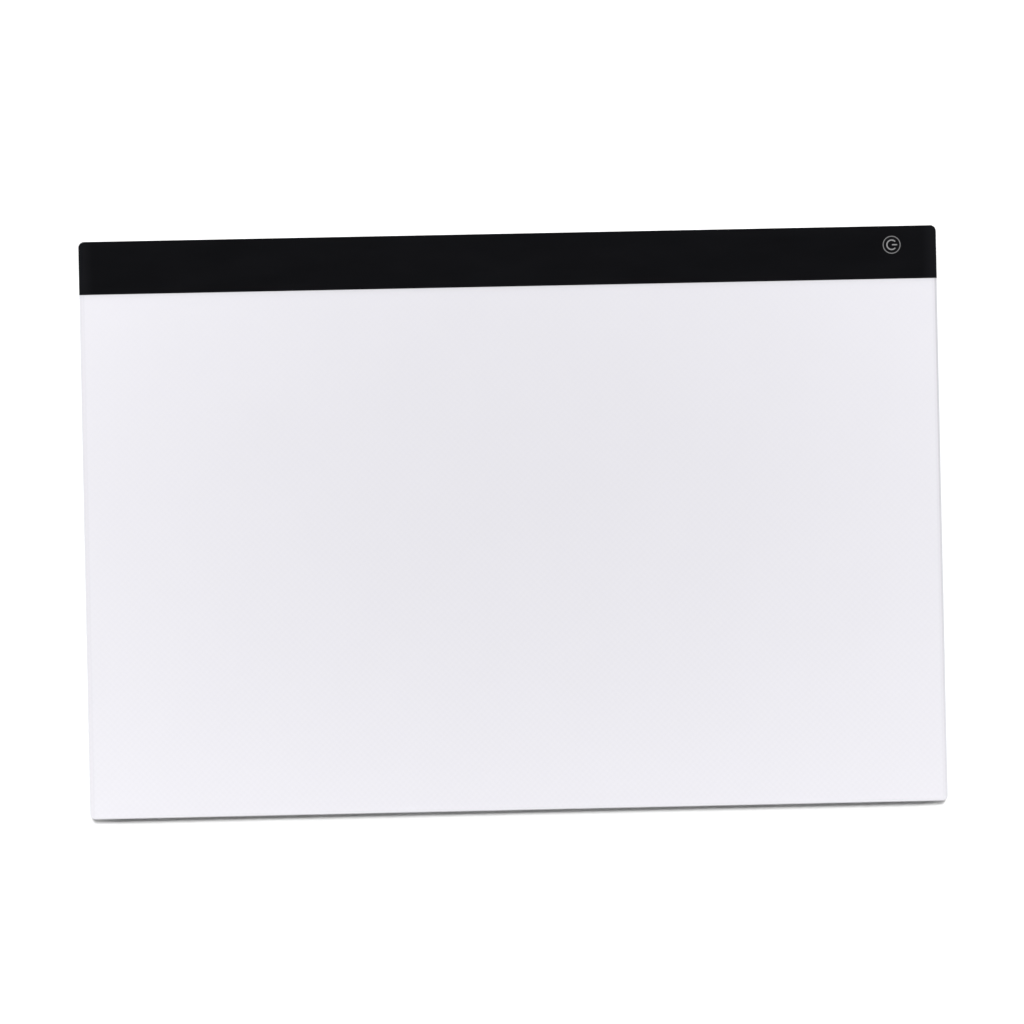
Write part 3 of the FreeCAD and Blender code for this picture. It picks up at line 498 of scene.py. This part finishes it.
def make_materials():
    """Every material by the name of its finish."""
    return {
        "opal": opal_panel(),
        "film": header_film(),
        "ink": key_ink(),
        "tray": moulded("tray_plastic", (0.70, 0.70, 0.71), 0.42, grain=0.3, relief=0.008,
                        mottle=0.015, IOR=1.52),
        "rubber": foot_rubber(),
        "guide": light_guide(),
        "strip board": strip_board(),
        "control board": control_board(),
        "foam": foam(),
        "phosphor": moulded("led_phosphor", (0.86, 0.66, 0.10), 0.30, grain=0.08, mottle=0.05,
                            Coat_Weight=0.4),
        "tin": metal("solder_bright", (0.72, 0.72, 0.74), 0.28, grain=0.25, relief=0.004),
        "tinned pad": metal("pad_tinned", (0.70, 0.68, 0.66), 0.35, grain=0.15, relief=0.004),
        "white tape": sheet_material("tape_white", (0.72, 0.72, 0.70), 0.5, 0.4, 0.01,
                                     stretch=(0.15, 1, 1)),
        "black tape": sheet_material("tape_black", (0.012, 0.012, 0.012), 0.38, 0.5, 0.006,
                                     0.15, stretch=(0.1, 1, 1)),
        "reflector": sheet_material("reflector_white", (0.86, 0.86, 0.86), 0.3, 0.8, 0.002,
                                    Coat_Weight=0.3),
        "diffuser": sheet_material("diffuser_film", (0.84, 0.84, 0.85), 0.6, 0.1, 0.004,
                                   Transmission_Weight=0.3),
        "led white": moulded("led_case", (0.82, 0.82, 0.78), 0.34, grain=0.1, relief=0.002),
        "epoxy": moulded("chip_black", (0.018, 0.018, 0.019), 0.55, grain=0.08, relief=0.008,
                         mottle=0.08),
        "glass top": moulded("resistor_top", (0.02, 0.02, 0.022), 0.25, grain=0.15,
                             relief=0.002),
        "alumina": moulded("resistor_ceramic", (0.75, 0.75, 0.73), 0.5, grain=0.1,
                           relief=0.003),
        "tan ceramic": moulded("ceramic_tan", (0.42, 0.28, 0.15), 0.42, grain=0.1,
                               mottle=0.06),
        "black plastic": moulded("insulator_black", (0.015, 0.015, 0.015), 0.45, grain=0.15,
                                 relief=0.003, mottle=0.08),
        "red wire": moulded("lead_red", (0.52, 0.018, 0.018), 0.35, grain=0.5, relief=0.006),
        "black wire": moulded("lead_black", (0.015, 0.015, 0.015), 0.35, grain=0.5,
                              relief=0.006, mottle=0.1),
        "steel": metal("socket_steel", (0.60, 0.60, 0.61), 0.30, grain=0.12,
                       stretch=(0.12, 1, 1)),
        "gold": metal("contact_gold", (0.83, 0.60, 0.22), 0.22, grain=0.1, relief=0.001),
    }


CAD_FINISHES = {
    "opal": ["cover_panel"],
    "film": ["header_overlay"],
    "ink": ["power_icon"],
    "tray": ["back_cover"],
    "rubber": [name for name in NODES if name.startswith("foot_")],
    "white tape": ["panel_tape", "led_board_tape", "board_tape"],
    "black tape": ["light_blocking_tape"],
    "reflector": ["reflector_sheet"],
    "diffuser": ["diffuser_sheet"],
    "guide": ["light_guide_plate"],
    "strip board": ["led_board"],
    "control board": ["control_board"],
    "steel": ["usb_shell"],
    "black plastic": ["usb_insulator"],
    "gold": ["usb_contacts"],
    "red wire": ["lead_positive"],
    "black wire": ["lead_negative"],
    # These CAD nodes are hidden: new pieces stand for them
    "epoxy": ["touch_controller", "dimmer_mosfet"],
    "glass top": ["led_resistors", "chip_resistors"],
    "tan ceramic": ["chip_capacitors"],
    "led white": ["side_leds"],
    "tin": ["solder_joints"],
    "foam": ["light_guide_foam", "touch_foam_pad"],
}


def paint_nodes():
    """Give every CAD node its material."""
    for finish, names in CAD_FINISHES.items():
        for name in names:
            for place in NODES[name].material_slots:
                place.material = MATERIALS[finish]


# ---------------------------------------------------------------- small parts

class Build:
    """A mesh in the making, in millimetres, whose faces carry the names of their finishes."""

    def __init__(self):
        self.mesh = bmesh.new()
        self.finishes = []

    def mark(self, faces, finish):
        """Give faces a finish."""
        if finish not in self.finishes:
            self.finishes.append(finish)
        for face in faces:
            face.material_index = self.finishes.index(finish)

    def block(self, low, high, finish, bevel=0.05, draft=0.0):
        """A box with rounded edges, whose top may be drawn in; its faces come back."""
        vertices = bmesh.ops.create_cube(self.mesh, size=1.0)["verts"]
        middle = [(a + b) / 2 for a, b in zip(low, high)]
        for vertex in vertices:
            upper = vertex.co.z > 0
            for axis in range(3):
                reach = (high[axis] - low[axis]) / 2
                if axis < 2 and upper:
                    reach -= draft
                vertex.co[axis] = middle[axis] + math.copysign(reach, vertex.co[axis])
        faces = list({face for vertex in vertices for face in vertex.link_faces})
        self.mark(faces, finish)
        if bevel:
            edges = list({edge for vertex in vertices for edge in vertex.link_edges})
            bmesh.ops.bevel(self.mesh, geom=edges, offset=bevel, segments=2, profile=0.5,
                            affect="EDGES", clamp_overlap=True)
        return faces

    def prism(self, outline, start, end, finish):
        """An outline of (y, z) points carried along X from start to end."""
        rings = [[self.mesh.verts.new((x, y, z)) for y, z in outline] for x in (start, end)]
        faces = [self.mesh.faces.new(rings[0]), self.mesh.faces.new(rings[1][::-1])]
        faces += self.skin(rings)
        self.mark(faces, finish)

    def skin(self, rings):
        """The faces between one closed ring of vertices and the next."""
        faces = []
        for before, after in zip(rings, rings[1:]):
            count = len(before)
            for step in range(count):
                following = (step + 1) % count
                faces.append(self.mesh.faces.new((before[step], before[following],
                                                  after[following], after[step])))
        return faces

    def turned(self, centre, profile, finish, steps=28, wobble=0.0):
        """A solid turned about an upright axis from (radius, z) points, closed at both ends."""
        rings = []
        for radius, z in profile:
            ring = []
            for step in range(steps):
                angle = 2 * math.pi * step / steps
                place = Vector((math.cos(angle), math.sin(angle), 0.0))
                dent = abs(noise.noise(place * 6 + Vector((0.0, 0.0, z * 5)))) if wobble else 0.0
                place *= radius - wobble * dent
                ring.append(self.mesh.verts.new((centre[0] + place.x, centre[1] + place.y, z)))
            rings.append(ring)
        faces = [self.mesh.faces.new(rings[0][::-1]), self.mesh.faces.new(rings[-1])]
        self.mark(faces + self.skin(rings), finish)

    def finish(self, name, slot, *nodes):
        """Turn the mesh into a piece of the pad."""
        bmesh.ops.recalc_face_normals(self.mesh, faces=self.mesh.faces)
        bmesh.ops.scale(self.mesh, vec=(MM, MM, MM), verts=self.mesh.verts)
        data = bpy.data.meshes.new(name)
        self.mesh.to_mesh(data)
        self.mesh.free()
        for finish in self.finishes:
            data.materials.append(MATERIALS[finish])
        data.polygons.foreach_set("use_smooth", [True] * len(data.polygons))
        data.set_sharp_from_angle(angle=math.radians(35))
        piece = bpy.data.objects.new(name, data)
        bpy.context.scene.collection.objects.link(piece)
        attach(piece, "root")
        if nodes:
            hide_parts(*nodes)
        return piece


def ribbon_outline(points, thickness):
    """The outline of a bent strip of metal that follows (y, z) points."""
    left, right = [], []
    for index, point in enumerate(points):
        before = Vector(points[max(index - 1, 0)])
        after = Vector(points[min(index + 1, len(points) - 1)])
        along = (after - before).normalized()
        across = Vector((-along.y, along.x)) * thickness / 2
        left.append((point[0] + across.x, point[1] + across.y))
        right.append((point[0] - across.x, point[1] - across.y))
    return left + right[::-1]


def make_leds():
    """Side-firing LEDs: a white case, a sunk phosphor window and tinned ends."""
    build = Build()
    width, depth, height = LED_SIZE
    trim = 0.06
    for index in range(LED_COUNT):
        x = LED_FIRST_X + LED_PITCH * index
        faces = build.block((x - width / 2 + trim, LED_FRONT, STRIP_TOP + 0.02),
                            (x + width / 2 - trim, LED_FRONT + depth - 0.04,
                             STRIP_TOP + height), "led white", bevel=0.0)
        front = min(faces, key=lambda face: face.calc_center_median().y)
        bmesh.ops.inset_individual(build.mesh, faces=[front], thickness=LED_MARGIN - trim)
        bmesh.ops.inset_individual(build.mesh, faces=[front], thickness=trim,
                                   depth=-LED_RECESS)
        build.mark([front], "phosphor")
        for side in (-1, 1):
            ends = sorted((x + side * width / 2, x + side * (width / 2 - LED_END_WIDTH)))
            build.block((ends[0], LED_FRONT + LED_END_FRONT, STRIP_TOP),
                        (ends[1], LED_FRONT + depth, STRIP_TOP + LED_END_HEIGHT), "tin",
                        bevel=0.04)
    build.finish("led_packages", "led_case", "side_leds")


def leg_places(chip):
    """The X of each leg of a chip, with the side that it is on: -1 in front, 1 behind."""
    middle = chip["centre"][0]
    return [(middle + (index - (count - 1) / 2) * chip["pitch"], side)
            for count, side in zip(chip["legs"], (-1, 1)) for index in range(count)]


def make_chip(name, node, chip):
    """A moulded chip with bent legs and a dimple that marks its first leg."""
    build = Build()
    (x, y), (length, width, height) = chip["centre"], chip["size"]
    low = CONTROL_TOP + CHIP_STANDOFF
    waist = low + height * 0.45
    top = low + height
    build.block((x - length / 2, y - width / 2, waist),
                (x + length / 2, y + width / 2, top), "epoxy", bevel=0.06, draft=0.09)
    build.block((x - length / 2 + 0.03, y - width / 2 + 0.03, low),
                (x + length / 2 - 0.03, y + width / 2 - 0.03, waist + 0.05), "epoxy",
                bevel=0.04)

    # Each leg lies flat on the board, slopes up beside the case and enters it at its waist
    half = LEG_THICKNESS / 2
    shoulder = waist - 0.05
    body_edge = width / 2
    path = [(body_edge + LEG_REACH, CONTROL_TOP + half),
            (body_edge + LEG_REACH - 0.34, CONTROL_TOP + half),
            (body_edge + LEG_REACH - 0.44, CONTROL_TOP + half + 0.06),
            (body_edge + 0.26, shoulder - 0.06),
            (body_edge + 0.18, shoulder),
            (body_edge - 0.2, shoulder)]
    outline = ribbon_outline(path, LEG_THICKNESS)
    for middle, side in leg_places(chip):
        build.prism([(y + side * across, z) for across, z in outline],
                    middle - LEG_WIDTH / 2, middle + LEG_WIDTH / 2, "tin")

    # The dimple is in the corner of the first leg
    dimple = (x - length / 2 + 0.55, y - width / 2 + 0.5)
    build.turned(dimple, [(0.22, top - 0.02), (0.22, top - 0.004), (0.17, top)],
                 "glass top", steps=16)
    build.finish(name, "chip_black", node)


def make_chip_row(name, node, slot, centres, size, under, core, top, end):
    """Chip resistors or capacitors: a core, its top coat and two tinned end caps."""
    build = Build()
    length, width, height = size
    for x, y in centres:
        reach, half = length / 2, width / 2
        build.block((x - reach + 0.05, y - half + 0.03, under + 0.03),
                    (x + reach - 0.05, y + half - 0.03, under + height - 0.04), core, bevel=0.02)
        build.block((x - reach + end, y - half + 0.05, under + height - 0.08),
                    (x + reach - end, y + half - 0.05, under + height - 0.01), top, bevel=0.02)
        for side in (-1, 1):
            ends = sorted((x + side * reach, x + side * (reach - end)))
            build.block((ends[0], y - half, under), (ends[1], y + half, under + height), "tin",
                        bevel=0.05)
    build.finish(name, slot, node)


def make_solder():
    """Solder beads with a wetted foot round each lead's end."""
    build = Build()
    bead = [(0.70, 0.0), (0.62, 0.05), (0.54, 0.14), (0.47, 0.28), (0.40, 0.42), (0.30, 0.52),
            (0.17, 0.58), (0.05, 0.60)]
    for x, y, under in SOLDER_JOINTS:
        build.turned((x, y), [(radius, under + height) for radius, height in bead], "tin")
    build.finish("solder_beads", "solder_bright", "solder_joints")


def make_pads():
    """Tinned pads that frame the feet of the parts on both boards."""
    # Half the length and width of each kind of pad, and the radius of each round land
    led_pad = (0.42, 0.5)
    resistor_pad = (0.4, 0.5)
    leg_pad = (0.3, 0.32)
    strip_land = 0.80
    control_land = 0.95
    key_land = 3.9

    def pad(build, x, y, half_x, half_y, under):
        build.block((x - half_x, y - half_y, under), (x + half_x, y + half_y,
                                                      under + PAD_THICKNESS),
                    "tinned pad", bevel=0.01)

    def land(build, centre, radius, under, steps=28):
        build.turned(centre, [(radius, under), (radius, under + 0.02),
                              (radius - 0.02, under + PAD_THICKNESS)], "tinned pad", steps)

    strip = Build()
    for index in range(LED_COUNT):
        for side in (-1, 1):
            x = LED_FIRST_X + LED_PITCH * index + side * (LED_SIZE[0] / 2 - 0.3)
            pad(strip, x, LED_FRONT + 0.85, *led_pad, STRIP_TOP)
    for x, y in STRIP_RESISTORS:
        for side in (-1, 1):
            pad(strip, x + side * RESISTOR_SIZE[0] / 2, y, *resistor_pad, STRIP_TOP)
    for x, y, under in SOLDER_JOINTS[2:]:
        land(strip, (x, y), strip_land, under)
    strip.finish("strip_board_pads", "solder_bright")

    control = Build()
    for centres, size in ((CONTROL_RESISTORS, RESISTOR_SIZE), (CAPACITORS, CAPACITOR_SIZE)):
        for x, y in centres:
            for side in (-1, 1):
                pad(control, x + side * (size[0] / 2 - 0.05), y, 0.35, size[1] / 2 - 0.02,
                    CONTROL_TOP)
    for chip in (TOUCH_CHIP, DIMMER_CHIP):
        for x, side in leg_places(chip):
            y = chip["centre"][1] + side * (chip["size"][1] / 2 + 0.62)
            pad(control, x, y, *leg_pad, CONTROL_TOP)
    for x, y, under in SOLDER_JOINTS[:2]:
        land(control, (x, y), control_land, under)
    land(control, KEY_CENTRE, key_land, CONTROL_TOP, steps=64)
    control.finish("control_board_pads", "solder_bright")


def make_foams():
    """The round pad under the key and the strip of foam in front of the light guide."""
    low, high = box_mm("touch_foam_pad")
    build = Build()
    radius = (high.x - low.x) / 2
    end_draw = 0.22
    levels = 9
    profile = []
    for level in range(levels):
        share = level / (levels - 1)
        bulge = 1 - (2 * share - 1) ** 2
        profile.append((radius - end_draw * (1 - bulge), low.z + (high.z - low.z) * share))
    build.turned(KEY_CENTRE, profile, "foam", steps=48, wobble=0.1)
    build.finish("key_foam", "foam_grey", "touch_foam_pad")

    low, high = box_mm("light_guide_foam")
    build = Build()
    middle = (low + high) / 2
    half = (high - low) / 2
    stations = 171
    around = 16
    rings = []
    for station in range(stations):
        x = low.x + (high.x - low.x) * station / (stations - 1)
        ring = []
        for step in range(around):
            angle = 2 * math.pi * step / around
            across, up = math.cos(angle), math.sin(angle)
            corner = max(abs(across), abs(up)) ** 0.8
            give = 1.0 - 0.05 * abs(noise.noise(Vector((x * 0.8, across * 3, up * 3))))
            ring.append(build.mesh.verts.new((
                x, middle.y + half.y * give * across / corner,
                middle.z + half.z * give * up / corner)))
        rings.append(ring)
    faces = [build.mesh.faces.new(rings[0][::-1]), build.mesh.faces.new(rings[-1])]
    build.mark(faces + build.skin(rings), "foam")
    build.finish("guide_foam", "foam_grey", "light_guide_foam")


# ---------------------------------------------------------------- stage, light and camera

def make_floor():
    """A wide, pale, matt floor at the height of the feet."""
    mesh = bpy.data.meshes.new("studio_floor")
    reach = FLOOR_HALF_SIZE * MM
    corners = [(x * reach, y * reach, 0.0) for x, y in ((-1, -1), (1, -1), (1, 1), (-1, 1))]
    mesh.from_pydata(corners, [], [(0, 1, 2, 3)])
    floor = bpy.data.objects.new("studio_floor", mesh)
    bpy.context.scene.collection.objects.link(floor)
    graph = Graph("studio_floor")
    graph.put(Base_Color=(FLOOR_ALBEDO, FLOOR_ALBEDO, FLOOR_ALBEDO, 1.0), Roughness=0.9,
              Specular_IOR_Level=0.1)
    mesh.materials.append(graph.material)


def make_world():
    """A studio that is white round the horizon and dark overhead."""
    world = bpy.data.worlds.new("studio")
    bpy.context.scene.world = world
    world.use_nodes = True
    tree = world.node_tree
    direction = tree.nodes.new("ShaderNodeTexCoord").outputs["Generated"]
    parts = tree.nodes.new("ShaderNodeSeparateXYZ")
    tree.links.new(direction, parts.inputs[0])
    fade = tree.nodes.new("ShaderNodeMapRange")
    fade.interpolation_type = "SMOOTHSTEP"
    for name, value in (("From Min", SKY_FADE[0]), ("From Max", SKY_FADE[1]),
                        ("To Min", HORIZON_LEVEL), ("To Max", ZENITH_LEVEL)):
        fade.inputs[name].default_value = value
    tree.links.new(parts.outputs["Z"], fade.inputs["Value"])
    background = tree.nodes["Background"]
    background.inputs["Color"].default_value = (1.0, 1.0, 1.0, 1.0)
    tree.links.new(fade.outputs["Result"], background.inputs["Strength"])


def make_lamp(name, across, back, level, spread):
    """A distant lamp with its slopes towards +X and +Y, and how bright it makes the floor.

    Distant lamps light the whole floor alike.  They are kept out of the film's gloss.  The
    spread is the angle that a lamp takes up, in degrees, and it softens the shadow's edge.
    """
    towards = Vector((across, back, 1.0)).normalized()
    data = bpy.data.lights.new(name, "SUN")
    data.angle = math.radians(spread)
    data.energy = level * math.pi / (FLOOR_ALBEDO * towards.z)
    light = bpy.data.objects.new(name, data)
    light.rotation_euler = towards.to_track_quat("Z", "Y").to_euler()
    light.visible_glossy = False
    bpy.context.scene.collection.objects.link(light)


def make_lights():
    """A row of lamps behind the header, and a row of weaker ones out to each side."""
    first, last = KEY_SLOPES
    step = (last - first) / KEY_COUNT
    for index in range(KEY_COUNT):
        make_lamp(f"key_{index}", 0.0, first + step * (index + 0.5), KEY_LEVEL / KEY_COUNT,
                  KEY_SPREAD)
    for index, slope in enumerate(SIDE_SLOPES):
        for name, side in (("left", -1), ("right", 1)):
            make_lamp(f"{name}_{index}", side * slope, SIDE_SLOPE_BACK,
                      SIDE_LEVEL / len(SIDE_SLOPES), SIDE_SPREAD)


def make_camera():
    """The camera above the pad."""
    data = bpy.data.cameras.new("camera")
    data.lens = LENS_MM
    camera = bpy.data.objects.new("camera", data)
    turn = (Matrix.Rotation(math.radians(CAMERA_ROLL), 3, "Z")
            @ Matrix.Rotation(math.radians(CAMERA_TILT_X), 3, "X")
            @ Matrix.Rotation(math.radians(CAMERA_TILT_Y), 3, "Y")).transposed()
    offset = turn @ Vector((-CAMERA_SHIFT[0], -CAMERA_SHIFT[1], CAMERA_DISTANCE)) * MM
    place = Vector((0.0, 0.0, cad_high.z)) + offset
    camera.matrix_world = Matrix.Translation(place) @ turn.to_4x4()
    bpy.context.scene.collection.objects.link(camera)
    bpy.context.scene.camera = camera


make_camera()
MATERIALS = make_materials()
paint_nodes()
make_leds()
make_chip("touch_controller_chip", "touch_controller", TOUCH_CHIP)
make_chip("dimmer_chip", "dimmer_mosfet", DIMMER_CHIP)
make_chip_row("strip_resistor_chips", "led_resistors", "chip_black", STRIP_RESISTORS,
              RESISTOR_SIZE, STRIP_TOP, "alumina", "glass top", 0.3)
make_chip_row("control_resistor_chips", "chip_resistors", "chip_black", CONTROL_RESISTORS,
              RESISTOR_SIZE, CONTROL_TOP, "alumina", "glass top", 0.3)
make_chip_row("capacitor_chips", "chip_capacitors", "ceramic_tan", CAPACITORS, CAPACITOR_SIZE,
              CONTROL_TOP, "tan ceramic", "tan ceramic", 0.4)
make_solder()
make_pads()
make_foams()
make_floor()
make_world()
make_lights()
bpy.context.scene.view_settings.view_transform = "Standard"
